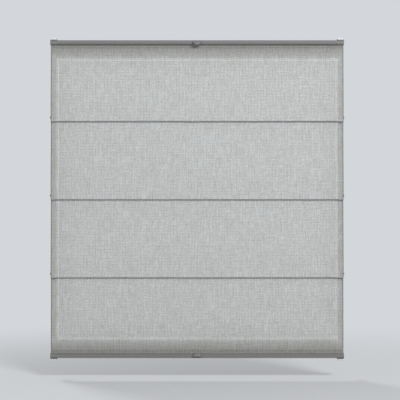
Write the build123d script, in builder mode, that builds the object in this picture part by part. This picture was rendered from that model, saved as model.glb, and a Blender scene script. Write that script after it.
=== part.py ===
"""Roman blind that rides on two tight cords and is clamped to a window sash.

Millimetres. X runs along the rails, -Y faces the room and +Z is up. The origin is the middle of
the sash's upper edge, on the sash's face. The lower half mirrors the upper half.
"""

from build123d import *
import os

# Overall sizes: over the end caps, from rail to rail, and from fold to fold
blind_width = 980
rail_span = 1060
fold_pitch = 260.8
fold_count = 3

# Clearances: push fits, resting faces, the rail's run past the shoes, round cloth, round cords
push_gap = 0.05
seat_gap = 0.2
run_gap = 0.6
soft_gap = 0.3
cord_gap = 0.3
overrun = 2

# Clamp: a moulded hook over the sash's edge, with a grub screw and a rubber pad on the sash's face
sash_thick = 20
clamp_width = 16
clamp_arm = 6
clamp_leg = 3
clamp_nose_set = 4
clamp_leg_drop = 36
clamp_hook_drop = 10
clamp_round = 2.5
clamp_lead = 1.2
pad_diameter = 11
pad_thick = 2
pad_recess = 1
grub_diameter = 4
grub_edge = 8
grub_socket_radius = 1.2
grub_socket_depth = 2

# Tension shoe: a head that the rail's end cap nests under, and a plate screwed to the clamp
shoe_head_thick = 4.2
shoe_head_rise = 2
shoe_end_set = 0.5
shoe_front_set = 1
shoe_head_round = 1
shoe_plate_thick = 3
shoe_plate_drop = 16
shoe_plate_round = 2
screw_diameter = 3
screw_head_diameter = 5.6
screw_head_depth = 1.4
screw_reach = 2.4
screw_edge = 6

# Cords and the crimped beads on their ends
cord_diameter = 1.2
cord_set = 3.4
bead_diameter = 4
bead_length = 2

# Rail: an extruded hollow section with a recessed outer band, a rabbet and a cloth channel
rail_height = 16
rail_depth = 19.4
rail_wall = 1.2
rail_round = 1
band_height = 5.6
band_set = 0.8
rabbet_height = 4.2
rabbet_depth = 5.2
rabbet_round = 0.6
channel_radius = 2.9
channel_rise = 4.6
slot_width = 2.6
cloth_set = 9.9

# Rail end cap, with a plug into the rail and a pocket where the cords turn round two pins
cap_length = 24
cap_round = 0.8
plug_length = 12
pocket_width = 5.2
pocket_length = 14
pocket_height = 6.4
pin_diameter = 2
pin_seat = 0.6
pin_gap = 0.1
lane_set = 1.4
lane_drop = 6.5

# Handle: a cup on the rail's front face, open to the rail's outer side
handle_width = 34
handle_height = 11.4
handle_depth = 12
handle_front_width = 25
handle_front_height = 9.4
handle_round = 2.4
handle_wall = 1.5

# Cloth: plain sheet, side hems, turned-in top and bottom ends, and tucks with rod pockets
cloth_end_set = 1.4
cloth_thick = 0.8
hem_thick = 1.6
hem_width = 27
end_turn = 52
lip_radius = 1.4
tuck_height = 12
strip_diameter = 3
strip_end_set = 2

# Rod in each tuck, and the guides on its ends
rod_diameter = 4
rod_end = 1.7
guide_plate = 2.2
guide_round = 3.4
guide_eye_round = 2.2
guide_eye_height = 3

# Places worked out from the sizes
clamp_face = -(pad_thick + clamp_leg)
rail_back = clamp_face - shoe_plate_thick - run_gap
rail_front = rail_back - rail_depth
rail_top = -(shoe_head_rise + seat_gap)
rail_inner = rail_top - rail_height
rail_length = blind_width - 2 * cap_length
half_rail = rail_length / 2
middle_plane = Plane.XY.offset(rail_top - rail_span / 2)
cord_x = blind_width / 2 - cap_length / 2
cord_y = rail_back - cord_set
cloth_y = rail_back - cloth_set
channel_z = rail_inner + channel_rise
chamber_floor = channel_z + channel_radius + rail_wall
shoe_top = rail_top + shoe_head_rise
shoe_bottom = shoe_top - shoe_head_thick
cap_top = shoe_bottom - seat_gap
grub_z = grub_edge - clamp_leg_drop
screw_z = shoe_bottom - shoe_plate_drop + screw_edge


def write(part, name):
    """Label a finished piece and write its file."""
    part.label = name
    export_step(part, f"parts/{name}.step")


def write_corners(part, name):
    """Write the upper right piece, and its mirror images at the other three corners."""
    left = mirror(part, about=Plane.YZ)
    write(part, f"upper_right_{name}")
    write(left, f"upper_left_{name}")
    write(mirror(part, about=middle_plane), f"lower_right_{name}")
    write(mirror(left, about=middle_plane), f"lower_left_{name}")


def write_both(part, name):
    """Write a piece of the top rail, and its mirror image on the bottom rail."""
    write(part, f"top_{name}")
    write(mirror(part, about=middle_plane), f"bottom_{name}")


os.makedirs("parts", exist_ok=True)

# Clamp: hook section across the sash's edge, with a nose over the shoe, extruded over its width
hook_back = sash_thick + clamp_leg
clamp_nose = rail_front + clamp_nose_set
with BuildPart() as clamp:
    with BuildSketch(Plane.YZ.offset(cord_x)):
        with BuildLine():
            Polyline(
                (clamp_nose, clamp_arm),
                (hook_back, clamp_arm),
                (hook_back, -clamp_hook_drop),
                (sash_thick, -clamp_hook_drop),
                (sash_thick, 0),
                (-pad_thick, 0),
                (-pad_thick, -clamp_leg_drop),
                (clamp_face, -clamp_leg_drop),
                (clamp_face, 0),
                (clamp_nose, 0),
                close=True,
            )
        make_face()
    extrude(amount=clamp_width / 2, both=True)
    fillet(clamp.edges().filter_by(Axis.X).group_by(Axis.Z)[-1], clamp_round)
    inner_tip = clamp.edges().filter_by(Axis.X).filter_by_position(Axis.Y, sash_thick, sash_thick)
    chamfer(inner_tip.sort_by(Axis.Z)[0], clamp_lead)
    leg_end = clamp.faces().sort_by(Axis.Z)[0].edges().filter_by(Axis.Y)
    fillet(leg_end, clamp_round)
    with BuildSketch(Plane.XZ):
        with Locations((cord_x, grub_z)):
            Circle(grub_diameter / 2 + push_gap)
        with Locations((cord_x, screw_z)):
            Circle(screw_diameter / 2 + push_gap)
    extrude(amount=-clamp_face + overrun, mode=Mode.SUBTRACT)
write_corners(clamp.part, "clamp")

with BuildPart() as clamp_pads:
    with BuildSketch(Plane.XZ):
        with Locations((cord_x, grub_z)):
            Circle(pad_diameter / 2)
    extrude(amount=pad_thick)
    with BuildSketch(Plane.XZ.offset(pad_thick)):
        with Locations((cord_x, grub_z)):
            Circle(grub_diameter / 2 + push_gap)
    extrude(amount=-pad_recess, mode=Mode.SUBTRACT)
    mirror(about=Plane.YZ)
    mirror(about=middle_plane)
write(clamp_pads.part, "clamp_pads")

with BuildPart() as clamp_screws:
    with BuildSketch(Plane.XZ.offset(-clamp_face)):
        with Locations((cord_x, grub_z)):
            Circle(grub_diameter / 2)
    extrude(amount=-(clamp_leg + pad_recess - push_gap))
    with BuildSketch(Plane.XZ.offset(-clamp_face)):
        with Locations((cord_x, grub_z)):
            RegularPolygon(radius=grub_socket_radius, side_count=6)
    extrude(amount=-grub_socket_depth, mode=Mode.SUBTRACT)
    mirror(about=Plane.YZ)
    mirror(about=middle_plane)
write(clamp_screws.part, "clamp_screws")

# Tension shoe: the head over the end cap, its plate on the clamp, and the cord's bead seat
shoe_front = rail_front + shoe_front_set
shoe_length = cap_length - 2 * shoe_end_set
plate_front = clamp_face - shoe_plate_thick
with BuildPart() as shoe:
    with BuildSketch(Plane.XY.offset(shoe_bottom)):
        with Locations((cord_x, (shoe_front + clamp_face) / 2)):
            Rectangle(shoe_length, clamp_face - shoe_front)
    extrude(amount=shoe_head_thick)
    fillet(shoe.edges().filter_by(Axis.Z), shoe_head_round)
    fillet(shoe.faces().sort_by(Axis.Z)[-1].edges(), shoe_head_round / 2)
    with BuildSketch(Plane.XZ.offset(-clamp_face)) as plate:
        with Locations((cord_x, shoe_bottom - shoe_plate_drop / 2)):
            Rectangle(clamp_width, shoe_plate_drop)
        fillet(plate.vertices().group_by(Axis.Y)[0], shoe_plate_round)
    extrude(amount=shoe_plate_thick)
    with BuildSketch(Plane.XY.offset(shoe_top)):
        with Locations((cord_x, cord_y)):
            Circle(cord_diameter / 2 + cord_gap)
    extrude(amount=-shoe_head_thick, mode=Mode.SUBTRACT)
    with BuildSketch(Plane.XY.offset(shoe_top)):
        with Locations((cord_x, cord_y)):
            Circle(bead_diameter / 2 + push_gap)
    extrude(amount=-bead_length, mode=Mode.SUBTRACT)
    with Locations(Plane((cord_x, plate_front, screw_z), x_dir=(1, 0, 0), z_dir=(0, -1, 0))):
        CounterSinkHole(
            screw_diameter / 2 + push_gap,
            screw_head_diameter / 2 + push_gap,
            depth=shoe_plate_thick,
        )
write_corners(shoe.part, "shoe")

with BuildPart() as shoe_screws:
    with BuildSketch(Plane.XZ.offset(-plate_front)):
        with Locations((cord_x, screw_z)):
            Circle(screw_head_diameter / 2)
    with BuildSketch(Plane.XZ.offset(-plate_front - screw_head_depth)):
        with Locations((cord_x, screw_z)):
            Circle(screw_diameter / 2)
    loft()
    with BuildSketch(Plane.XZ.offset(-plate_front - screw_head_depth)):
        with Locations((cord_x, screw_z)):
            Circle(screw_diameter / 2)
    extrude(amount=-(shoe_plate_thick - screw_head_depth + screw_reach))
    mirror(about=Plane.YZ)
    mirror(about=middle_plane)
write(shoe_screws.part, "shoe_screws")

# Cords: straight and tight from the upper shoes to the lower shoes, with a bead on each end
with BuildPart() as right_cord:
    with BuildSketch(Plane.XY.offset(shoe_top)):
        with Locations((cord_x, cord_y)):
            Circle(cord_diameter / 2)
    extrude(amount=middle_plane.origin.Z - shoe_top)
    mirror(about=middle_plane)
write(right_cord.part, "right_cord")
write(mirror(right_cord.part, about=Plane.YZ), "left_cord")

with BuildPart() as cord_beads:
    with BuildSketch(Plane.XY.offset(shoe_top)):
        with Locations((cord_x, cord_y)):
            Circle(bead_diameter / 2)
            Circle(cord_diameter / 2 + push_gap, mode=Mode.SUBTRACT)
    extrude(amount=-bead_length)
    mirror(about=Plane.YZ)
    mirror(about=middle_plane)
write(cord_beads.part, "cord_beads")

# Rail: outer section, then the hollows and the cloth channel
band_front = rail_front + band_set
band_end = rail_top - band_height
face_end = band_end - band_set
rabbet_front = rail_front + rabbet_depth
rabbet_z = rail_inner + rabbet_height


def rail_outline(top):
    """Outer section below `top`: recessed band, front face, and the rabbet next to the cloth."""
    with BuildSketch() as outline:
        with BuildLine():
            Polyline(
                (rail_back, top),
                (band_front, top),
                (band_front, band_end),
                (rail_front, face_end),
                (rail_front, rabbet_z),
                (rabbet_front, rabbet_z),
                (rabbet_front, rail_inner),
                (rail_back, rail_inner),
                close=True,
            )
        make_face()
    return outline.sketch


with BuildPart() as rail:
    with BuildSketch(Plane.YZ):
        add(rail_outline(rail_top))
    extrude(amount=half_rail, both=True)
    long_edges = rail.edges().filter_by(Axis.X)
    face_edges = long_edges.filter_by_position(Axis.Y, rail_front, rail_front)
    lip_edges = long_edges.filter_by_position(Axis.Y, rabbet_front, rabbet_front)
    fillet([face_edges.sort_by(Axis.Z)[0], lip_edges.sort_by(Axis.Z)[0]], rabbet_round)
    fillet(rail.edges().filter_by(Axis.X).group_by(Axis.Z)[-1], rail_round)
    with BuildSketch(Plane.YZ):
        with BuildLine():
            Polyline(
                (rail_back - rail_wall, rail_top - rail_wall),
                (band_front + rail_wall, rail_top - rail_wall),
                (band_front + rail_wall, chamber_floor),
                (rail_back - rail_wall, chamber_floor),
                close=True,
            )
        make_face()
        with BuildLine():
            Polyline(
                (rail_back - rail_wall, chamber_floor - rail_wall),
                (cloth_y + channel_radius + rail_wall, chamber_floor - rail_wall),
                (cloth_y + channel_radius + rail_wall, rail_inner + rail_wall),
                (rail_back - rail_wall, rail_inner + rail_wall),
                close=True,
            )
        make_face()
        with BuildLine():
            Polyline(
                (cloth_y - channel_radius - rail_wall, chamber_floor - rail_wall),
                (rail_front + rail_wall, chamber_floor - rail_wall),
                (rail_front + rail_wall, rabbet_z + rail_wall),
                (cloth_y - channel_radius - rail_wall, rabbet_z + rail_wall),
                close=True,
            )
        make_face()
        with Locations((cloth_y, channel_z)):
            Circle(channel_radius)
        with Locations((cloth_y, channel_z - channel_rise / 2)):
            Rectangle(slot_width, channel_rise)
    extrude(amount=half_rail, both=True, mode=Mode.SUBTRACT)
write_both(rail.part, "rail")

# Round strip inside the turned-in end of the cloth, in the rail's channel
with BuildPart() as cloth_strip:
    with BuildSketch(Plane.YZ):
        with Locations((cloth_y, channel_z)):
            Circle(strip_diameter / 2)
    extrude(amount=half_rail - strip_end_set, both=True)
write_both(cloth_strip.part, "cloth_strip")

# End cap: the rail's section with a plug, the cord's bore, the turning pocket and its two pin holes
turn_radius = pin_diameter / 2 + cord_diameter / 2 + pin_gap
lane_z = rail_top - lane_drop
pin_x = cord_x - turn_radius
upper_pin_z = lane_z + turn_radius
lower_pin_z = lane_z - turn_radius
pin_length = pocket_width + 2 * pin_seat
pocket_front = cord_y - pocket_width / 2
plug_back = pocket_front - rail_wall
plug_front = band_front + rail_wall + push_gap
plug_top = rail_top - rail_wall - push_gap
plug_floor = chamber_floor + push_gap
with BuildPart() as cap:
    with BuildSketch(Plane.YZ.offset(half_rail)):
        add(rail_outline(cap_top))
    extrude(amount=cap_length)
    fillet(cap.faces().sort_by(Axis.X)[-1].edges(), cap_round)
    with BuildSketch(Plane.YZ.offset(half_rail)):
        with Locations(((plug_back + plug_front) / 2, (plug_top + plug_floor) / 2)):
            Rectangle(plug_back - plug_front, plug_top - plug_floor)
    extrude(amount=-plug_length)
    with BuildSketch(Plane.YZ.offset(half_rail)):
        with Locations((cord_y, lane_z)):
            Rectangle(pocket_width, pocket_height)
    extrude(amount=pocket_length, mode=Mode.SUBTRACT)
    with BuildSketch(Plane.XY.offset(rail_top)):
        with Locations((cord_x, cord_y)):
            Circle(cord_diameter / 2 + cord_gap)
    extrude(amount=-(rail_height + overrun), mode=Mode.SUBTRACT)
    with BuildSketch(Plane.XZ.offset(-cord_y)):
        with Locations((pin_x, upper_pin_z), (pin_x, lower_pin_z)):
            Circle(pin_diameter / 2 + push_gap)
    extrude(amount=pin_length / 2, both=True, mode=Mode.SUBTRACT)
left_cap = mirror(cap.part, about=Plane.YZ)
write_both(cap.part, "right_cap")
write_both(left_cap, "left_cap")

with BuildPart() as cap_pins:
    with BuildSketch(Plane.XZ.offset(-cord_y)):
        with Locations((pin_x, upper_pin_z), (pin_x, lower_pin_z)):
            Circle(pin_diameter / 2)
    extrude(amount=pin_length / 2 - push_gap, both=True)
    mirror(about=Plane.YZ)
write_both(cap_pins.part, "cap_pins")

# Crossing cords: each comes down round the upper pin of one cap, and leaves round the lower pin
# of the other
cross_plane = Plane.XZ.offset(-cord_y - lane_set)
with BuildPart() as cross_cords:
    with BuildLine(cross_plane) as cross_path:
        CenterArc((-pin_x, upper_pin_z), turn_radius, 180, 90)
        Line((-pin_x, lane_z), (pin_x, lane_z))
        CenterArc((pin_x, lower_pin_z), turn_radius, 90, -90)
    with BuildSketch(Plane((-cord_x, cord_y + lane_set, upper_pin_z))):
        Circle(cord_diameter / 2)
    sweep()
    mirror(about=Plane.YZ)
    mirror(about=Plane.XZ.offset(-cord_y))
write_both(cross_cords.part, "cross_cords")


def half_moon(width, height, edge):
    """Outline under a straight edge: chord `width`, depth `height`, edge at `edge`."""
    with BuildSketch() as moon:
        with BuildLine():
            ThreePointArc((-width / 2, edge), (0, edge - height), (width / 2, edge))
            Line((width / 2, edge), (-width / 2, edge))
        make_face()
    return moon.sketch


# Handle: cup lofted between two half-moons and hollowed from its straight edge
hollow_width = handle_width - 4 * handle_wall
hollow_height = handle_height - 2 * handle_wall
hollow_front_width = handle_front_width - 4 * handle_wall
hollow_front_height = handle_front_height - 2 * handle_wall
hollow_back = -rail_front + handle_wall
hollow_front = -rail_front + handle_depth - handle_wall
with BuildPart() as handle:
    with BuildSketch(Plane.XZ.offset(-rail_front)):
        add(half_moon(handle_width, handle_height, face_end))
    with BuildSketch(Plane.XZ.offset(-rail_front + handle_depth)):
        add(half_moon(handle_front_width, handle_front_height, face_end))
    loft()
    front_edges = handle.faces().sort_by(Axis.Y)[0].edges()
    fillet(front_edges.sort_by(Axis.Z)[0], handle_round)
    with BuildSketch(Plane.XZ.offset(hollow_back)):
        add(half_moon(hollow_width, hollow_height, face_end))
    with BuildSketch(Plane.XZ.offset(hollow_front)):
        add(half_moon(hollow_front_width, hollow_front_height, face_end))
    loft(mode=Mode.SUBTRACT)
write_both(handle.part, "handle")

# Cloth: one sheet down from the top rail, back and up at each lip, over the rod and down again
tuck_radius = rod_diameter / 2 + soft_gap + hem_thick / 2
fold_back = cloth_y + tuck_radius
fold_middle = cloth_y - tuck_radius
fold_front = fold_middle - 2 * lip_radius
cloth_top = rail_inner - soft_gap
cloth_bottom = 2 * middle_plane.origin.Z - cloth_top
turned_top = cloth_top - end_turn
turned_bottom = cloth_bottom + end_turn
first_lip = middle_plane.origin.Z + fold_pitch * (fold_count - 1) / 2
lips = [first_lip - fold_pitch * fold for fold in range(fold_count)]
rod_heights = [lip + tuck_height for lip in lips]


def sway(start, end):
    """Panel that leaves `start` and reaches `end` upright, in two arcs that meet halfway."""
    middle = ((start[0] + end[0]) / 2, (start[1] + end[1]) / 2)
    TangentArc(start, middle, tangent=(0, -1))
    TangentArc(middle, end, tangent=(0, 1), tangent_from_first=False)


def cloth_section(thick):
    """Section of the folded sheet at the given thickness."""
    with BuildSketch() as section:
        with BuildLine():
            start = (cloth_y, turned_top)
            Line((cloth_y, cloth_top), start)
            for lip, rod_z in zip(lips, rod_heights):
                lip_z = lip + lip_radius
                sway(start, (fold_front, lip_z))
                ThreePointArc((fold_front, lip_z), (fold_front + lip_radius, lip), (fold_middle, lip_z))
                Line((fold_middle, lip_z), (fold_middle, rod_z))
                ThreePointArc((fold_middle, rod_z), (cloth_y, rod_z + tuck_radius), (fold_back, rod_z))
                start = (fold_back, rod_z)
            sway(start, (cloth_y, turned_bottom))
            Line((cloth_y, turned_bottom), (cloth_y, cloth_bottom))
        trace(line_width=thick)
    return section.sketch


half_cloth = blind_width / 2 - cloth_end_set
half_plain = half_cloth - hem_width
eyelet_radius = strip_diameter / 2 + soft_gap
heading_radius = eyelet_radius + cloth_thick
with BuildPart() as cloth:
    with BuildSketch(Plane.YZ):
        add(cloth_section(cloth_thick))
    extrude(amount=half_plain, both=True)
    with BuildSketch(Plane.YZ.offset(half_plain), Plane.YZ.offset(-half_cloth)):
        add(cloth_section(hem_thick))
    extrude(amount=hem_width)
    with BuildSketch(Plane.YZ):
        with Locations((cloth_y, cloth_top - end_turn / 2), (cloth_y, cloth_bottom + end_turn / 2)):
            Rectangle(2 * cloth_thick, end_turn)
    extrude(amount=half_cloth, both=True)
    with BuildSketch(Plane.YZ) as heading:
        with Locations((cloth_y, channel_z)):
            Circle(heading_radius)
        with Locations((cloth_y, (channel_z + cloth_top) / 2)):
            Rectangle(2 * cloth_thick, channel_z - cloth_top)
        with Locations((cloth_y, channel_z)):
            Circle(eyelet_radius, mode=Mode.SUBTRACT)
    heading_part = extrude(amount=half_rail - strip_end_set, both=True)
    mirror(heading_part, about=middle_plane)
write(cloth.part, "cloth")

# Rods in the tucks, and their guides: a plate on the rod's end with an eye for the cord behind it
rod_half = half_cloth + rod_end
plate_start = half_cloth + soft_gap
plate_end = plate_start + guide_plate
rod_names = ("upper_rod", "middle_rod", "lower_rod")
for rod_name, rod_z in zip(rod_names, rod_heights):
    with BuildPart() as rod:
        with BuildSketch(Plane.YZ):
            with Locations((cloth_y, rod_z)):
                Circle(rod_diameter / 2)
        extrude(amount=rod_half, both=True)
    write(rod.part, rod_name)
    with BuildPart() as guide:
        with BuildSketch(Plane.YZ.offset(plate_start)):
            with Locations((cloth_y, rod_z)):
                Circle(guide_round)
            with Locations((cord_y, rod_z)):
                Circle(guide_eye_round)
            make_hull()
        extrude(amount=guide_plate)
        with BuildSketch(Plane.YZ.offset(plate_start)):
            with Locations((cloth_y, rod_z)):
                Circle(rod_diameter / 2 + push_gap)
        extrude(amount=rod_half - plate_start + push_gap, mode=Mode.SUBTRACT)
        with BuildSketch(Plane.XY.offset(rod_z)):
            with Locations((cord_x, cord_y)):
                Circle(guide_eye_round)
            with Locations(((cord_x + plate_end) / 2, cord_y)):
                Rectangle(plate_end - cord_x, 2 * guide_eye_round)
            with Locations((cord_x, cord_y)):
                Circle(cord_diameter / 2 + cord_gap, mode=Mode.SUBTRACT)
        extrude(amount=guide_eye_height / 2, both=True)
    write(guide.part, f"{rod_name}_right_guide")
    write(mirror(guide.part, about=Plane.YZ), f"{rod_name}_left_guide")
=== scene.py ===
import bpy
import numpy as np
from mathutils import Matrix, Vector


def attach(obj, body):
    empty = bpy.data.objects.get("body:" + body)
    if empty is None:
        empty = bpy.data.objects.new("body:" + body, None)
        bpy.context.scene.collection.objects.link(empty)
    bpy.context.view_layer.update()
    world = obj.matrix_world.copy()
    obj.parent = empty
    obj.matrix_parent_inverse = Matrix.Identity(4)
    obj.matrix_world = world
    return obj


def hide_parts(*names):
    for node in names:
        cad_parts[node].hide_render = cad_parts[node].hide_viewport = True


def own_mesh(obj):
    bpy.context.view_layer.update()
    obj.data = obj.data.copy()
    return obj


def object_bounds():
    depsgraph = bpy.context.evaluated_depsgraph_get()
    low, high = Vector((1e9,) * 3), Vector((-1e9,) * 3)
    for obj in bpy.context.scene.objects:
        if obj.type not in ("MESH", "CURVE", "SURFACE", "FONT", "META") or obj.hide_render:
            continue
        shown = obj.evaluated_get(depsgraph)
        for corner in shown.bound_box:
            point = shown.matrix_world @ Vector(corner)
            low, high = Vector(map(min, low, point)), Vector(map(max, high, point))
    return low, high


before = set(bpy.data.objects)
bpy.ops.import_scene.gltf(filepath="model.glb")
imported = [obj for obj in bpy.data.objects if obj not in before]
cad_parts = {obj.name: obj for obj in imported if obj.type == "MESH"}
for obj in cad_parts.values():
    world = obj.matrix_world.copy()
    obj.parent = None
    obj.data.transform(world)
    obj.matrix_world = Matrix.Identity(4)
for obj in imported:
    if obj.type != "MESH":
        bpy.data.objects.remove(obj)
cad_low, cad_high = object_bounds()

# Clamps: four hooks at the blind's corners that hold it up, injection moulded in white nylon.
# A spark-eroded mould leaves a fine grain, so they read as a soft, even white with no shine.
millimetre = 0.001
clamp_white = "#E6E8EB"
clamp_shadow_white = "#DADCDF"
clamp_roughness = 0.5
mould_grain = 0.9 * millimetre
grain_depth = 0.1 * millimetre
grain_strength = 0.25
patch_grains = 30
gloss_spread = 0.08


def linear(colour):
    """Linear RGBA of an sRGB hex colour: each channel goes through the sRGB curve."""
    srgb = np.array([int(colour[i:i + 2], 16) for i in (1, 3, 5)]) / 255
    rgb = np.where(srgb <= 0.04045, srgb / 12.92, ((srgb + 0.055) / 1.055) ** 2.4)
    return (*rgb.tolist(), 1.0)


def new_material(name, sockets):
    """A material with one Principled shader, and that shader's constant values by socket."""
    material = bpy.data.materials.new(name)
    material.use_nodes = True
    shader = material.node_tree.nodes["Principled BSDF"]
    for socket, value in sockets.items():
        shader.inputs[socket].default_value = value
    return material, shader


def add_node(shader, kind, sockets, **settings):
    """Adds a node to a shader's tree. Settings are its properties. A socket that is given another
    node's output is linked to it, and any other value is set."""
    made = shader.id_data.nodes.new("ShaderNode" + kind)
    for name, value in settings.items():
        setattr(made, name, value)
    for socket, value in sockets.items():
        if isinstance(value, bpy.types.NodeSocket):
            shader.id_data.links.new(value, made.inputs[socket])
        else:
            made.inputs[socket].default_value = value
    return made


def feed(shader, socket, output):
    """Links a node's output to a socket of the shader."""
    shader.id_data.links.new(output, shader.inputs[socket])


def moulded_plastic(name, colour, low_colour, grain, roughness):
    """Moulded plastic: the mean of a noise as wide as the grain and one as wide as its patches moves
    the colour between two near tones. The grain also lifts the surface by some hundredths of a
    millimetre, and moves the roughness up and down by the gloss's spread."""
    material, shader = new_material(name, {"IOR": 1.5})
    place = add_node(shader, "TexCoord", {}).outputs["Object"]
    fine = add_node(shader, "TexNoise", {"Vector": place, "Scale": 1 / grain, "Detail": 3.0})
    broad = add_node(
        shader, "TexNoise", {"Vector": place, "Scale": 1 / (patch_grains * grain), "Detail": 2.0}
    )
    tone = add_node(shader, "Mix", {0: 0.5, 2: fine.outputs["Fac"], 3: broad.outputs["Fac"]})
    colours = add_node(
        shader, "Mix",
        {0: tone.outputs[0], 6: linear(low_colour), 7: linear(colour)},
        data_type="RGBA",
    )
    gloss = add_node(
        shader, "MapRange",
        {
            "Value": fine.outputs["Fac"],
            "To Min": roughness - gloss_spread, "To Max": roughness + gloss_spread,
        },
    )
    lift = add_node(
        shader, "Bump",
        {"Height": fine.outputs["Fac"], "Strength": grain_strength, "Distance": grain_depth},
    )
    feed(shader, "Base Color", colours.outputs[2])
    feed(shader, "Roughness", gloss.outputs[0])
    feed(shader, "Normal", lift.outputs[0])
    return material


def dress(material, *names):
    """Gives CAD nodes one material."""
    for name in names:
        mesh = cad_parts[name].data
        mesh.materials.clear()
        mesh.materials.append(material)


moulded_nylon = moulded_plastic(
    "moulded_nylon", clamp_white, clamp_shadow_white, mould_grain, clamp_roughness
)
dress(
    moulded_nylon,
    "upper_left_clamp", "upper_right_clamp", "lower_left_clamp", "lower_right_clamp",
)

# Pads: round rubber discs under the clamps' screws, pressed from sheet.
# Rubber is matt and dark, with a dusty bloom in patches.
pad_black = "#3B3B3A"
pad_bloom = "#504F4D"
pad_roughness = 0.8
bloom_width = 2.5 * millimetre
pressed_rubber = moulded_plastic(
    "pressed_rubber", pad_bloom, pad_black, bloom_width, pad_roughness
)
dress(pressed_rubber, "clamp_pads")

# Screws, cord beads and cap pins: turned steel with a zinc coat.
# The coat is a cool mid grey with small crystals, which shine more or less.
zinc_grey = "#A9ADB1"
zinc_crystal = "#C6C9CC"
zinc_low_roughness = 0.28
zinc_high_roughness = 0.45
crystal_width = 0.6 * millimetre
zinc_steel, zinc_shader = new_material("zinc_coated_steel", {"Metallic": 1.0})
zinc_place = add_node(zinc_shader, "TexCoord", {}).outputs["Object"]
crystals = add_node(zinc_shader, "TexVoronoi", {"Vector": zinc_place, "Scale": 1 / crystal_width})
zinc_tone = add_node(
    zinc_shader, "Mix",
    {0: crystals.outputs["Distance"], 6: linear(zinc_crystal), 7: linear(zinc_grey)},
    data_type="RGBA",
)
zinc_gloss = add_node(
    zinc_shader, "MapRange",
    {
        "Value": crystals.outputs["Distance"],
        "To Min": zinc_low_roughness, "To Max": zinc_high_roughness,
    },
)
feed(zinc_shader, "Base Color", zinc_tone.outputs[2])
feed(zinc_shader, "Roughness", zinc_gloss.outputs[0])
dress(zinc_steel, "clamp_screws", "shoe_screws", "cord_beads", "top_cap_pins", "bottom_cap_pins")

# Tension shoes: small heads that hold the cords' ends, moulded in dark grey acetal.
# They look a shade darker and warmer than the rails. The lower pair has a darker copy of the same grey,
# painted shade for the shade they stand in.
shoe_grey = "#706E67"
shoe_low_grey = "#64625C"
# Painted shade: a darker copy of the shoes' greys for the lower pair.
shaded_shoe_grey = "#5A5852"
shaded_shoe_low_grey = "#504E49"
shoe_roughness = 0.45
moulded_acetal = moulded_plastic(
    "moulded_acetal", shoe_grey, shoe_low_grey, mould_grain, shoe_roughness
)
shaded_acetal = moulded_plastic(
    "painted_shade_acetal", shaded_shoe_grey, shaded_shoe_low_grey, mould_grain, shoe_roughness
)
dress(moulded_acetal, "upper_left_shoe", "upper_right_shoe")
dress(shaded_acetal, "lower_left_shoe", "lower_right_shoe")

# Cords: braided polyester, tight from shoe to shoe, and the runs that cross inside the rails.
# The braid shows as slanting ridges 1.5 mm apart, a light silvery grey. A wave texture's slanting
# bands cross an axis every pi / 5 over its scale, and its straight bands every pi / 10.
cord_light = "#C9CACA"
cord_dark = "#8F9090"
braid_pitch = 1.5 * millimetre
braid_depth = 0.2 * millimetre
braid_strength = 0.6
braid_wander = 1.5
braided_cord, cord_shader = new_material("braided_polyester", {"Roughness": 0.7})
cord_place = add_node(cord_shader, "TexCoord", {}).outputs["Object"]
braid = add_node(
    cord_shader, "TexWave",
    {
        "Vector": cord_place, "Scale": np.pi / (5 * braid_pitch),
        "Distortion": braid_wander, "Detail": 1.0,
    },
    bands_direction="DIAGONAL",
)
cord_tone = add_node(
    cord_shader, "Mix",
    {0: braid.outputs["Fac"], 6: linear(cord_dark), 7: linear(cord_light)},
    data_type="RGBA",
)
cord_lift = add_node(
    cord_shader, "Bump",
    {"Height": braid.outputs["Fac"], "Strength": braid_strength, "Distance": braid_depth},
)
feed(cord_shader, "Base Color", cord_tone.outputs[2])
feed(cord_shader, "Normal", cord_lift.outputs[0])
dress(braided_cord, "left_cord", "right_cord", "top_cross_cords", "bottom_cross_cords")

# Rails: extruded aluminium, satin anodised in grey.
# Extruding leaves faint lines along the rail, and the anodised skin spreads the light softly.
rail_grey = "#868584"
rail_line_grey = "#797877"
rail_low_roughness = 0.48
rail_high_roughness = 0.62
line_height = 1.1 * millimetre
line_length = 160 * millimetre
line_depth = 0.05 * millimetre
line_strength = 0.15
pit_width = 0.8 * millimetre
anodised_aluminium, rail_shader = new_material(
    "anodised_aluminium", {"Metallic": 0.1, "Specular IOR Level": 0.2}
)
rail_place = add_node(rail_shader, "TexCoord", {}).outputs["Object"]
stretched = add_node(
    rail_shader, "Mapping",
    {"Vector": rail_place, "Scale": (1 / line_length, 1 / line_height, 1 / line_height)},
)
lines = add_node(
    rail_shader, "TexNoise", {"Vector": stretched.outputs[0], "Scale": 1.0, "Detail": 2.0}
)
pits = add_node(
    rail_shader, "TexNoise", {"Vector": rail_place, "Scale": 1 / pit_width, "Detail": 2.0}
)
rail_tone = add_node(
    rail_shader, "Mix",
    {0: lines.outputs["Fac"], 6: linear(rail_line_grey), 7: linear(rail_grey)},
    data_type="RGBA",
)
rail_gloss = add_node(
    rail_shader, "MapRange",
    {
        "Value": pits.outputs["Fac"],
        "To Min": rail_low_roughness, "To Max": rail_high_roughness,
    },
)
rail_lift = add_node(
    rail_shader, "Bump",
    {"Height": lines.outputs["Fac"], "Strength": line_strength, "Distance": line_depth},
)
feed(rail_shader, "Base Color", rail_tone.outputs[2])
feed(rail_shader, "Roughness", rail_gloss.outputs[0])
feed(rail_shader, "Normal", rail_lift.outputs[0])
dress(anodised_aluminium, "top_rail", "bottom_rail")

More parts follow.
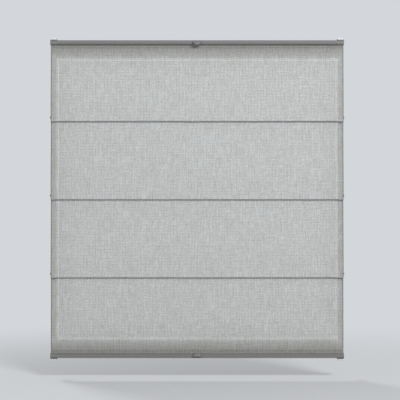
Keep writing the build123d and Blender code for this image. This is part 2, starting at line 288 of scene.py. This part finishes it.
# End caps, finger grips and rod guides: moulded ABS in the rails' own grey.
# It has the mould's grain instead of lines.
abs_grey = "#828281"
abs_low_grey = "#777776"
abs_roughness = 0.42
moulded_abs = moulded_plastic(
    "moulded_abs", abs_grey, abs_low_grey, mould_grain, abs_roughness
)
dress(
    moulded_abs,
    "top_left_cap", "top_right_cap", "bottom_left_cap", "bottom_right_cap",
    "top_handle", "bottom_handle",
    "upper_rod_left_guide", "upper_rod_right_guide",
    "middle_rod_left_guide", "middle_rod_right_guide",
    "lower_rod_left_guide", "lower_rod_right_guide",
)

# Rods in the tucks and strips in the rails' channels: drawn glass fibre rod and plastic welt.
# Both are off-white, with fine lines along their length.
rod_white = "#DAD9D2"
rod_line_white = "#C9C7BE"
fibre_width = 0.5 * millimetre
fibre_length = 60 * millimetre
glass_fibre, rod_shader = new_material("drawn_glass_fibre", {"Roughness": 0.45})
rod_place = add_node(rod_shader, "TexCoord", {}).outputs["Object"]
fibre_place = add_node(
    rod_shader, "Mapping",
    {"Vector": rod_place, "Scale": (1 / fibre_length, 1 / fibre_width, 1 / fibre_width)},
)
fibres = add_node(
    rod_shader, "TexNoise", {"Vector": fibre_place.outputs[0], "Scale": 1.0, "Detail": 2.0}
)
rod_tone = add_node(
    rod_shader, "Mix",
    {0: fibres.outputs["Fac"], 6: linear(rod_line_white), 7: linear(rod_white)},
    data_type="RGBA",
)
feed(rod_shader, "Base Color", rod_tone.outputs[2])
dress(glass_fibre, "upper_rod", "middle_rod", "lower_rod", "top_cloth_strip", "bottom_cloth_strip")

# Cloth: one length of plain-woven linen-look polyester, tucked round three rods, its sides hemmed and
# its ends turned in. Painted shade darkens the hems and turned ends, most of all at the edges and by
# the rails. A painted highlight draws a pale line along their inner edge, and a soft painted shade
# fades into the single cloth beside them.
cloth_half = 488.6 * millimetre
cloth_y = -18.5 * millimetre
half_thick = 0.4 * millimetre
hem_width = 27 * millimetre
hem_front = 0.55 * millimetre
hem_back = 0.8 * millimetre
hem_roll = 0.8 * millimetre
hem_step = 0.6 * millimetre
thinnest_share = 0.02
cloth_top = -18.5 * millimetre
cloth_bottom = -1045.9 * millimetre
end_turn = 52 * millimetre
turn_step = 0.6 * millimetre
seam_set = 2 * millimetre
lips = np.array([-271.4, -532.2, -793.0]) * millimetre
tuck_height = 12 * millimetre
tuck_radius = 3.1 * millimetre
lip_radius = 1.4 * millimetre
tuck_margin = 0.9 * millimetre
fold_back = cloth_y + tuck_radius
fold_middle = cloth_y - tuck_radius
fold_front = fold_middle - 2 * lip_radius
wave_depth = 0.3 * millimetre
waves = ((9.1, 4.3, 0.4), (-13.7, 7.9, 1.9), (23.0, -5.1, 2.7), (4.7, 17.3, 5.2))
hem_sag = 1.8 * millimetre
sag_reach = 30 * millimetre
lip_waver = 0.35 * millimetre
waver_rate = 2.6
waver_step = 9
column_width = 9 * millimetre
hem_seam = hem_width - seam_set
stitch_pitch = 3.6 * millimetre
stitch_length = 3.1 * millimetre
stitch_width = 0.8 * millimetre
stitch_rings = 5
stitch_sides = 6
stitch_taper = 0.89
crease_angle = 50
repeat_gap = 0.0001 * millimetre
hem_columns = np.array(
    [
        0, 0.15, 0.4, 0.8, 2, 2.8, 3.6, 8, 13, 17.4, 18.2,
        21, 23.4, 24, 25, 26.1, 26.7, 27, 27.3, 28.6, 31, 35,
    ]
) * millimetre
turned_edges = (cloth_top - end_turn, cloth_bottom + end_turn)
# Painted shade by distance from a side or an end: 1 is the full tint of the painted shade, and below 0
# is a painted highlight, paler than single cloth. The painted highlight is kept only where the other
# direction is no darker than its limit.
side_shade_places = np.array([0, 2.8, 3.6, 17.4, 18.2, 23.4, 24, 26.7, 27.3, 50, 95]) * millimetre
side_painted_shades = (1.2, 1.2, 0.5, 0.44, 0.14, 0.14, -0.1, -0.1, 0.15, 0.08, 0.0)
end_shade_places = np.array([0, 4, 4.6, 8.4, 9, 41.6, 42.2, 48.4, 49, 51.7, 52.3, 75, 115]) * millimetre
end_painted_shades = (0.85, 0.85, 1.14, 1.1, 0.92, 0.44, 0.14, 0.14, -0.1, -0.1, 0.15, 0.07, 0.0)
painted_highlight_limit = 0.16


def sway(start, end, rows):
    """Panel's line: z falls evenly, while y goes over in two half parabolas between the turned ends,
    and stays as it is along them. A turned end's edge and the steps of the painted shade have rows of
    their own, and rows on the same micrometre are one."""
    z = np.linspace(start[1], end[1], rows)
    marks = [edge + turn_step * i for edge in turned_edges for i in (-1, -0.5, 0, 0.5, 1)]
    marks += [cloth_top - place for place in end_shade_places]
    marks += [cloth_bottom + place for place in end_shade_places]
    marks = [mark for mark in marks if end[1] < mark < start[1]]
    z = np.unique(np.append(z, marks).round(6))[::-1]
    upper = min(start[1], turned_edges[0])
    lower = max(end[1], turned_edges[1])
    t = np.clip((upper - z) / (upper - lower), 0, 1)
    over = np.where(t < 0.5, 2 * t**2, 1 - 2 * (1 - t)**2)
    return np.column_stack((start[0] + (end[0] - start[0]) * over, z))


def turn(centre, radius, first, last, rows):
    """Arc about a centre in y and z, from one angle to another in degrees."""
    angle = np.radians(np.linspace(first, last, rows))
    return np.column_stack((centre[0] + radius * np.cos(angle), centre[1] + radius * np.sin(angle)))


def run(*parts):
    """Joins lines end to end, and leaves out each point that repeats the one before it."""
    line = np.concatenate(parts)
    step = np.linalg.norm(np.diff(line, axis=0), axis=1)
    return line[np.concatenate(([True], step > repeat_gap))]


def upright(y, start, end, rows):
    """Straight line at one y, from one height to another."""
    return np.column_stack((np.full(rows, y), np.linspace(start, end, rows)))


def soft_waves(x, z):
    """Slow hills and hollows from -1 to 1: the mean of slanting sines, each of which has its radians a
    metre across, its radians a metre up and its start."""
    return sum(np.sin(across * x + up * z + start) for across, up, start in waves) / len(waves)


def droop(from_edge):
    """How far a lip hangs down near the sides: from 1 at the edge to 0 at the sag's reach, eased by
    three times the square less twice the cube."""
    t = np.clip(1 - from_edge / sag_reach, 0, 1)
    return 3 * t**2 - 2 * t**3


def grid_faces(rows, columns, offset, outwards):
    """Quads of a grid numbered row by row from offset, wound one way or the other."""
    first = offset + (np.arange(rows - 1)[:, None] * columns + np.arange(columns - 1)[None, :]).ravel()
    quads = np.column_stack((first, first + columns, first + columns + 1, first + 1))
    return quads if outwards else quads[:, ::-1]


def rim_faces(front, back, outwards):
    """Quads between two matching rows of points, wound one way or the other."""
    quads = np.column_stack((front[:-1], front[1:], back[1:], back[:-1]))
    return quads if outwards else quads[:, ::-1]


def cloth_columns(half):
    """Places across the cloth: close together over a hem's edge, fold and seam, even between."""
    left = -half + hem_columns
    count = int((2 * half - 2 * hem_columns[-1]) / column_width)
    middle = np.linspace(left[-1], -left[-1], count)[1:-1]
    return np.concatenate((left, middle, -left[::-1]))


def stitches(centres, along, across, out):
    """Stitches, each a lens of many-sided rings: a ring's place goes evenly along the stitch, and the
    square of its radius falls by the taper times the square of its distance from the middle.
    Returns points, quads and end caps."""
    t = np.linspace(-1, 1, stitch_rings)
    angle = np.linspace(0, 2 * np.pi, stitch_sides, endpoint=False)
    radius = np.sqrt(1 - stitch_taper * t**2)[:, None]
    run_part = np.repeat(t * stitch_length / 2, stitch_sides)
    wide_part = (radius * np.cos(angle) * stitch_width / 2).ravel()
    high_part = (radius * np.sin(angle) * stitch_width / 2).ravel()
    points = (
        centres[:, None, :]
        + run_part[:, None] * along[:, None, :]
        + wide_part[:, None] * across[:, None, :]
        + high_part[:, None] * out[:, None, :]
    )
    ring = np.arange(stitch_sides)
    ring_starts = stitch_sides * np.arange(stitch_rings)[:, None]
    first = (ring_starts[:-1] + ring).ravel()
    beside = (ring_starts[:-1] + (ring + 1) % stitch_sides).ravel()
    one = np.column_stack((first, beside, beside + stitch_sides, first + stitch_sides))
    start = stitch_rings * stitch_sides * np.arange(len(centres))
    quads = (one[None] + start[:, None, None]).reshape(-1, 4)
    ends = np.concatenate((start[:, None] + ring[::-1], start[:, None] + ring_starts[-1] + ring))
    return points.reshape(-1, 3), quads, ends


def seam_points(x, line, normal, depth_front, depth_back, pitch):
    """Stitch centres down a line of the cloth at each x, on the face and on the back, a pitch apart
    by the line's own length, with their directions."""
    steps = np.linalg.norm(np.diff(line, axis=0), axis=1)
    length = np.concatenate(([0], np.cumsum(steps)))
    at = np.arange(pitch / 2, length[-1] - stitch_length / 2, pitch)
    place = np.column_stack([np.interp(at, length, line[:, i]) for i in (0, 1)])
    facing = np.column_stack([np.interp(at, length, normal[:, i]) for i in (0, 1)])
    facing /= np.linalg.norm(facing, axis=1)[:, None]
    centres, along, out = [], [], []
    for side in x:
        for way, depth in ((1, depth_front), (-1, depth_back)):
            spot = place + way * depth * facing
            centres.append(np.column_stack((np.full(len(at), side), spot)))
            along.append(np.column_stack((np.zeros(len(at)), -facing[:, 1], facing[:, 0])))
            out.append(way * np.column_stack((np.zeros(len(at)), facing)))
    centres, along, out = (np.concatenate(part) for part in (centres, along, out))
    return centres, along, np.cross(out, along), out


def cloth_piece(name, line, length_before, half=cloth_half, wavy=0.0, lip=None, seam=None):
    """A stretch of the cloth: the line is carried across the width, and each point goes out along
    the line's normal by half the thickness, to the face and to the back. The hems are thicker, and
    round off to nothing at the edge. The UV map is the flat cloth, in metres."""
    x = cloth_columns(half)
    steps = np.linalg.norm(np.diff(line, axis=0), axis=1)
    length = length_before + np.concatenate(([0], np.cumsum(steps)))
    along = np.gradient(line, length, axis=0)
    along /= np.linalg.norm(along, axis=1)[:, None]
    normal = np.column_stack((along[:, 1], -along[:, 0]))
    from_edge = cloth_half - np.abs(x)
    hem = np.clip(0.5 + (hem_width - from_edge) / hem_step, 0, 1)
    rolled = np.sqrt(1 - (1 - np.clip(from_edge / hem_roll, thinnest_share, 1))**2)
    front = ((half_thick + (hem_front - half_thick) * hem) * rolled)[None, :]
    back = ((half_thick + (hem_back - half_thick) * hem) * rolled)[None, :]
    past_edges = np.stack((line[:, 1] - turned_edges[0], turned_edges[1] - line[:, 1]))
    turned = np.clip(0.5 + past_edges / turn_step, 0, 1).max(axis=0) * (half == cloth_half)
    back = back + 2 * half_thick * turned[:, None] * rolled[None, :]
    share = np.linspace(0, 1, len(line))
    swell = wavy * wave_depth * np.sin(np.pi * share)[:, None]**2
    shift_y = swell * soft_waves(x[None, :], line[:, 1:])
    shift_z = np.zeros_like(shift_y)
    if lip is not None:
        near_lip = np.clip(1 - (line[:, 1] - lip) / tuck_height, 0, 1)[:, None]**2
        near_lip *= np.clip((fold_middle + lip_radius - line[:, 0]) / lip_radius, 0, 1)[:, None]
        waver = soft_waves(waver_rate * x, np.full_like(x, waver_step * lip))
        shift_z = -near_lip * (hem_sag * droop(from_edge) + lip_waver * waver)[None, :]
    sides = []
    for way, depth in ((1, front), (-1, back)):
        y = line[:, :1] + shift_y + way * normal[:, :1] * depth
        z = line[:, 1:] + shift_z + way * normal[:, 1:] * depth
        sides.append(np.stack((np.broadcast_to(x[None, :], y.shape), y, z), axis=-1).reshape(-1, 3))
    rows, columns = len(line), len(x)
    number = np.arange(rows * columns).reshape(rows, columns)
    behind = number + rows * columns
    faces = np.concatenate((
        grid_faces(rows, columns, 0, True),
        grid_faces(rows, columns, rows * columns, False),
        rim_faces(number[:, 0], behind[:, 0], False),
        rim_faces(number[:, -1], behind[:, -1], True),
        rim_faces(number[0], behind[0], True),
        rim_faces(number[-1], behind[-1], False),
    ))
    points = np.concatenate(sides)
    faces = faces.tolist()
    cloth_faces = len(faces)
    flat = np.broadcast_arrays(x[None, :] + cloth_half, -length[:, None])
    flat = np.tile(np.stack(flat, axis=-1).reshape(-1, 2), (2, 1))
    from_end = np.minimum(cloth_top - line[:, 1], line[:, 1] - cloth_bottom)
    # Painted shade and painted highlight at each point, from the side and end tables.
    side_shade = np.interp(from_edge, side_shade_places, side_painted_shades)[None, :]
    end_shade = np.interp(from_end, end_shade_places, end_painted_shades)[:, None]
    paler = np.minimum(side_shade, end_shade)
    darker = np.maximum(side_shade, end_shade)
    shade_amount = np.tile(np.where((paler < 0) & (darker < painted_highlight_limit), paler, darker).ravel(), 2)
    between = (line[:, 1] < turned_edges[0] + seam_set) & (line[:, 1] > turned_edges[1] - seam_set)
    if between.any():
        seam_sag = hem_sag * droop(hem_seam) * (lip is not None)
        seams = [seam_points(
            (-half + hem_seam, half - hem_seam), line[between] - [0, seam_sag],
            normal[between], hem_front, hem_back, stitch_pitch,
        )]
        if seam is not None:
            level = np.arange(-half + hem_seam, half - hem_seam, stitch_pitch)
            seam_y = np.interp(-seam, -line[:, 1], line[:, 0])
            for way, depth in ((1, half_thick), (-1, 3 * half_thick)):
                spots = np.column_stack((level, np.tile((seam_y - way * depth, seam), (len(level), 1))))
                ahead = np.tile((1, 0, 0), (len(level), 1))
                away = np.tile((0, -way, 0), (len(level), 1))
                seams.append((spots, ahead, np.cross(away, ahead), away))
        sewn = [np.concatenate(part) for part in zip(*seams)]
        thread_points, quads, ends = stitches(*sewn)
        faces += (quads + len(points)).tolist() + (ends + len(points)).tolist()
        points = np.concatenate((points, thread_points))
        flat = np.concatenate((flat, thread_points[:, [0, 2]]))
        shade_amount = np.concatenate((shade_amount, np.ones(len(thread_points))))
    mesh = bpy.data.meshes.new(name)
    mesh.from_pydata(points.tolist(), [], faces)
    corners = np.zeros(len(mesh.loops), np.int32)
    mesh.loops.foreach_get("vertex_index", corners)
    uv_map = mesh.uv_layers.new(name="flat_cloth")
    uv_map.data.foreach_set("uv", flat[corners].astype(np.float32).ravel())
    # The painted shade goes to the cloth's material as a point attribute.
    painted_shade = mesh.attributes.new("painted_shade", "FLOAT", "POINT")
    painted_shade.data.foreach_set("value", shade_amount.astype(np.float32))
    mesh.materials.append(linen_cloth)
    mesh.materials.append(sewing_thread)
    slots = (np.arange(len(faces)) >= cloth_faces).astype(np.int32)
    mesh.polygons.foreach_set("material_index", slots)
    mesh.shade_smooth()
    mesh.set_sharp_from_angle(angle=np.radians(crease_angle))
    made = bpy.data.objects.new(name, mesh)
    bpy.context.scene.collection.objects.link(made)
    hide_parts("cloth")
    return made, length[-1]


# Woven cloth: warp and weft yarns of uneven thickness, with a thicker one about every 10 mm each way.
# Single threads, 0.4 mm apart, are too fine to show, so they are drawn coarser, as slubs 1.5 mm wide
# that are long along their own yarn, with round nubs between.
cloth_dark = "#A6A59F"
cloth_middle = "#BCBDBC"
cloth_light = "#D1D4D6"
# Painted shade tint: the hems, the turned ends and the cloth beside them are darkened towards it.
painted_shade_tint = "#BEBDB8"
slub_width = 1.5 * millimetre
warp_length = 42 * millimetre
weft_length = 36 * millimetre
nub_width = 1.8 * millimetre
slub_wander = 1.0
noise_low = 0.36
noise_high = 0.64
warp_share = 0.17
weft_share = 0.12
cross_share = 0.05
nub_share = 0.3
bar_pitch = 10 * millimetre
bar_share = 0.08
bar_wander = 1.5
wander_pitches = 3
dark_place = 0.2
middle_place = 0.5
light_place = 0.8
thread_grain = 0.8 * millimetre
thread_share = 0.5
weave_depth = 0.3 * millimetre
weave_strength = 0.35
linen_cloth, cloth_shader = new_material(
    "woven_linen_cloth", {"Roughness": 0.92, "Sheen Weight": 0.08, "Sheen Roughness": 0.5}
)
cloth_uv = add_node(cloth_shader, "UVMap", {}, uv_map="flat_cloth").outputs["UV"]
slubs = []
for width, height in ((slub_width, warp_length), (weft_length, slub_width), (nub_width, nub_width)):
    yarn_place = add_node(
        cloth_shader, "Mapping", {"Vector": cloth_uv, "Scale": (1 / width, 1 / height, 1)}
    )
    yarn = add_node(
        cloth_shader, "TexNoise",
        {"Vector": yarn_place.outputs[0], "Scale": 1.0, "Detail": 1.0, "Distortion": slub_wander},
        noise_dimensions="2D",
    )
    slub = add_node(
        cloth_shader, "MapRange",
        {
            "Value": yarn.outputs["Fac"], "From Min": noise_low, "From Max": noise_high,
            "To Min": -1, "To Max": 1,
        },
    )
    slubs.append(slub.outputs[0])
crossing = add_node(cloth_shader, "Math", {0: slubs[0], 1: slubs[1]}, operation="MULTIPLY")
layers = [
    (slubs[0], warp_share), (slubs[1], weft_share), (slubs[2], nub_share),
    (crossing.outputs[0], cross_share),
]
for direction in ("X", "Y"):
    bars = add_node(
        cloth_shader, "TexWave",
        {
            "Vector": cloth_uv, "Scale": np.pi / (10 * bar_pitch),
            "Distortion": bar_wander, "Detail": 1.0, "Detail Scale": 1 / (wander_pitches * bar_pitch),
        },
        bands_direction=direction,
    )
    layers.append((bars.outputs["Fac"], bar_share))
# The bars of each direction have a mean of a half, so one share is taken off for both.
weave = middle_place - bar_share
for layer, share in layers:
    weave = add_node(
        cloth_shader, "Math", {0: layer, 1: share, 2: weave}, operation="MULTIPLY_ADD"
    ).outputs[0]
yarn_tones = add_node(cloth_shader, "ValToRGB", {"Fac": weave})
tones = yarn_tones.color_ramp.elements
for tone, place, colour in zip(tones, (dark_place, light_place), (cloth_dark, cloth_light)):
    tone.position = place
    tone.color = linear(colour)
tones.new(middle_place).color = linear(cloth_middle)
# Painted shade and highlight: above 0 the attribute pulls the yarn tones towards the tint, below 0 it
# lifts them paler.
shade_amount = add_node(cloth_shader, "Attribute", {}, attribute_name="painted_shade").outputs["Fac"]
cloth_tone = add_node(
    cloth_shader, "Mix",
    {0: shade_amount, 6: yarn_tones.outputs[0], 7: linear(painted_shade_tint)},
    data_type="RGBA", blend_type="MULTIPLY", clamp_factor=False,
)
thread_place = add_node(
    cloth_shader, "Mapping",
    {"Vector": cloth_uv, "Scale": (1 / thread_grain, 1 / thread_grain, 1)},
)
threads = add_node(
    cloth_shader, "TexNoise", {"Vector": thread_place.outputs[0], "Scale": 1.0, "Detail": 1.0},
    noise_dimensions="2D",
)
relief = add_node(cloth_shader, "Mix", {0: thread_share, 2: weave, 3: threads.outputs["Fac"]})
cloth_lift = add_node(
    cloth_shader, "Bump",
    {"Height": relief.outputs[0], "Strength": weave_strength, "Distance": weave_depth},
)
feed(cloth_shader, "Base Color", cloth_tone.outputs[2])
feed(cloth_shader, "Normal", cloth_lift.outputs[0])

# Sewing thread: spun polyester, paler than the cloth, with slanting stripes from its twist.
# The seams are real, and their pale thread also serves as painted highlight: it draws a thin light
# line inside the hems and turned ends.
thread_light = "#EDEBE6"
thread_dark = "#D2D0CA"
twist_pitch = 0.628 * millimetre
sewing_thread, thread_shader = new_material("spun_polyester_thread", {"Roughness": 0.6})
thread_spot = add_node(thread_shader, "TexCoord", {}).outputs["Object"]
twist = add_node(
    thread_shader, "TexWave", {"Vector": thread_spot, "Scale": np.pi / (5 * twist_pitch)},
    bands_direction="DIAGONAL",
)
thread_tone = add_node(
    thread_shader, "Mix",
    {0: twist.outputs["Fac"], 6: linear(thread_dark), 7: linear(thread_light)},
    data_type="RGBA",
)
feed(thread_shader, "Base Color", thread_tone.outputs[2])

# Top end: the cloth goes round the strip in the top rail's channel and is turned back below it.
# The stretch next to the rail stays flat and moves with it.
channel_z = -13.6 * millimetre
heading_radius = 2.2 * millimetre
heading_half = 464 * millimetre
heading_first = -70
heading_last = 250
ply_set = 0.4 * millimetre
end_length = 14 * millimetre
neck_rows = 4
ring_rows = 22
hem_rows = 6
top_end = cloth_top - end_length


def heading(channel, edge, way):
    """Line round the strip in a rail's channel: straight to the neck of the ring, round the strip, and
    straight back. Way is 1 in the top rail, and -1 in the bottom rail, where the line is turned by
    half a circle."""
    neck = channel - way * heading_radius
    turned_by = 90 * (1 - way)
    first = heading_first + turned_by
    last = heading_last + turned_by
    return run(
        upright(cloth_y + way * ply_set, edge, neck, neck_rows),
        turn((cloth_y, channel), heading_radius, first, last, ring_rows),
        upright(cloth_y - way * ply_set, neck, edge, neck_rows),
    )


top_heading, heading_length = cloth_piece(
    "top_cloth_heading", heading(channel_z, cloth_top + ply_set, 1), 0, half=heading_half
)
top_hem, length = cloth_piece(
    "top_cloth_hem", upright(cloth_y, cloth_top, top_end, hem_rows), heading_length
)
for piece in (top_heading, top_hem):
    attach(piece, "top_rail")

# Tucks and panels: at each fold the cloth runs down to a lip, back up, over its rod and down again.
# The lip hangs in front of the next panel. On the blind the panels between gather as the rails slide;
# here each panel and tuck is attached to a body, and each panel gets a mesh of its own. The first and
# the last hold the rest of the turned ends, with the seams through both layers.
tuck_bodies = ("frame", "middle_rod", "lower_rod")
panel_bodies = ("frame", *tuck_bodies)
panel_rows = 44
front_rows = 9
lip_rows = 13
middle_rows = 6
rod_rows = 17
back_rows = 7
bottom_end = cloth_bottom + end_length
tuck_tops = lips + tuck_height + tuck_radius + tuck_margin
panel_starts = [(cloth_y, top_end), *[(fold_back, lip) for lip in lips]]
panel_ends = [*[(fold_front, height) for height in tuck_tops], (cloth_y, bottom_end)]
for number in range(len(lips) + 1):
    start = panel_starts[number]
    end = panel_ends[number]
    before = length
    panel, length = cloth_piece(
        f"cloth_panel_{number + 1}", sway(start, end, panel_rows), before, wavy=1.0,
        seam={0: turned_edges[0] + seam_set, len(lips): turned_edges[1] - seam_set}.get(number),
    )
    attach(panel, panel_bodies[number])
    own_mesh(panel)
    if number == len(lips):
        break
    lip = lips[number]
    before = length
    tuck, length = cloth_piece(
        f"cloth_tuck_{number + 1}",
        run(
            upright(fold_front, tuck_tops[number], lip + lip_radius, front_rows),
            turn((fold_front + lip_radius, lip + lip_radius), lip_radius, 180, 360, lip_rows),
            upright(fold_middle, lip + lip_radius, lip + tuck_height, middle_rows),
            turn((cloth_y, lip + tuck_height), tuck_radius, 180, 0, rod_rows),
            upright(fold_back, lip + tuck_height, lip, back_rows),
        ),
        before, lip=lip,
    )
    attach(tuck, tuck_bodies[number])

# Bottom end: as the top end, in the bottom rail's channel, and turned back above it.
# It moves with the bottom rail.
bottom_channel_z = cloth_top + cloth_bottom - channel_z
before = length
bottom_hem, length = cloth_piece(
    "bottom_cloth_hem", upright(cloth_y, bottom_end, cloth_bottom, hem_rows), before
)
bottom_heading, _ = cloth_piece(
    "bottom_cloth_heading", heading(bottom_channel_z, cloth_bottom - ply_set, -1), length,
    half=heading_half,
)
for piece in (bottom_heading, bottom_hem):
    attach(piece, "bottom_rail")

# Studio: a pale floor that fades into the background far off, soft light from above in front,
# a weaker one from behind, and an even sky all round.
backdrop = "#D3D6DA"
floor_colour = "#CDCFD2"
floor_z = -1.13
floor_half = 40.0
fade_start = 0.8
fade_end = 2.4
sky_white = "#FFFFFF"
sky_strength = 0.38
soft_box_width = 2.4
soft_box_height = 1.4
soft_boxes = (
    ("front_soft_box", (2.8, -5.7, 3.2), 336.0),
    ("back_soft_box", (-3.6, 5.4, 3.2), 220.0),
)
floor_points = floor_half * np.array([(-1, -1), (1, -1), (1, 1), (-1, 1)])
floor_mesh = bpy.data.meshes.new("studio_floor")
floor_mesh.from_pydata([(x, y, floor_z) for x, y in floor_points.tolist()], [], [(0, 1, 2, 3)])
floor = bpy.data.objects.new("studio_floor", floor_mesh)
bpy.context.scene.collection.objects.link(floor)
studio_floor, floor_shader = new_material(
    "painted_floor", {"Base Color": linear(floor_colour), "Roughness": 0.9}
)
floor_place = add_node(floor_shader, "TexCoord", {}).outputs["Object"]
floor_reach = add_node(floor_shader, "VectorMath", {0: floor_place}, operation="LENGTH")
floor_fade = add_node(
    floor_shader, "MapRange",
    {"Value": floor_reach.outputs["Value"], "From Min": fade_start, "From Max": fade_end},
    interpolation_type="SMOOTHSTEP",
)
far_floor = add_node(floor_shader, "Emission", {"Color": linear(backdrop)})
fading_floor = add_node(
    floor_shader, "MixShader",
    {0: floor_fade.outputs[0], 1: floor_shader.outputs[0], 2: far_floor.outputs[0]},
)
floor_output = floor_shader.id_data.nodes["Material Output"]
floor_shader.id_data.links.new(fading_floor.outputs[0], floor_output.inputs["Surface"])
floor_mesh.materials.append(studio_floor)

world = bpy.data.worlds.new("studio_sky")
bpy.context.scene.world = world
world.use_nodes = True
sky = world.node_tree.nodes["Background"]
sky.inputs["Color"].default_value = linear(sky_white)
sky.inputs["Strength"].default_value = sky_strength
seen_sky = add_node(sky, "Background", {"Color": linear(backdrop), "Strength": 1.0})
rays = add_node(sky, "LightPath", {})
seen_or_mirrored = add_node(
    sky, "Math",
    {0: rays.outputs["Is Camera Ray"], 1: rays.outputs["Is Glossy Ray"]}, operation="MAXIMUM",
)
seen_anyhow = add_node(
    sky, "Math",
    {0: seen_or_mirrored.outputs[0], 1: rays.outputs["Is Transmission Ray"]}, operation="MAXIMUM",
)
whole_sky = add_node(
    sky, "MixShader", {0: seen_anyhow.outputs[0], 1: sky.outputs[0], 2: seen_sky.outputs[0]}
)
sky_output = world.node_tree.nodes["World Output"]
world.node_tree.links.new(whole_sky.outputs[0], sky_output.inputs["Surface"])

blind_middle = (cad_low + cad_high) / 2
for name, place, power in soft_boxes:
    lamp = bpy.data.lights.new(name, "AREA")
    lamp.shape = "RECTANGLE"
    lamp.size = soft_box_width
    lamp.size_y = soft_box_height
    lamp.energy = power
    soft_box = bpy.data.objects.new(name, lamp)
    soft_box.location = place
    soft_box.rotation_euler = (blind_middle - Vector(place)).to_track_quat("-Z", "Y").to_euler()
    bpy.context.scene.collection.objects.link(soft_box)

# Camera: square on to the blind and level with its middle, far enough off for a mild perspective.
# The rails' front face is drawn at the photograph's scale.
rail_front = -28 * millimetre
photo_pixels = 400
blind_pixels = 294.0
blind_width = 980 * millimetre
photo_width = photo_pixels * blind_width / blind_pixels
camera_reach = 4.5
photo_centre_x = 9.6 * millimetre
photo_centre_z = -534.9 * millimetre
lens = bpy.data.cameras.new("camera")
lens.sensor_width = 36.0
lens.lens = lens.sensor_width * camera_reach / photo_width
camera = bpy.data.objects.new("camera", lens)
camera.location = (photo_centre_x, rail_front - camera_reach, photo_centre_z)
camera.rotation_euler = (np.radians(90), 0, 0)
bpy.context.scene.collection.objects.link(camera)
bpy.context.scene.camera = camera
bpy.context.scene.view_settings.view_transform = "Standard"
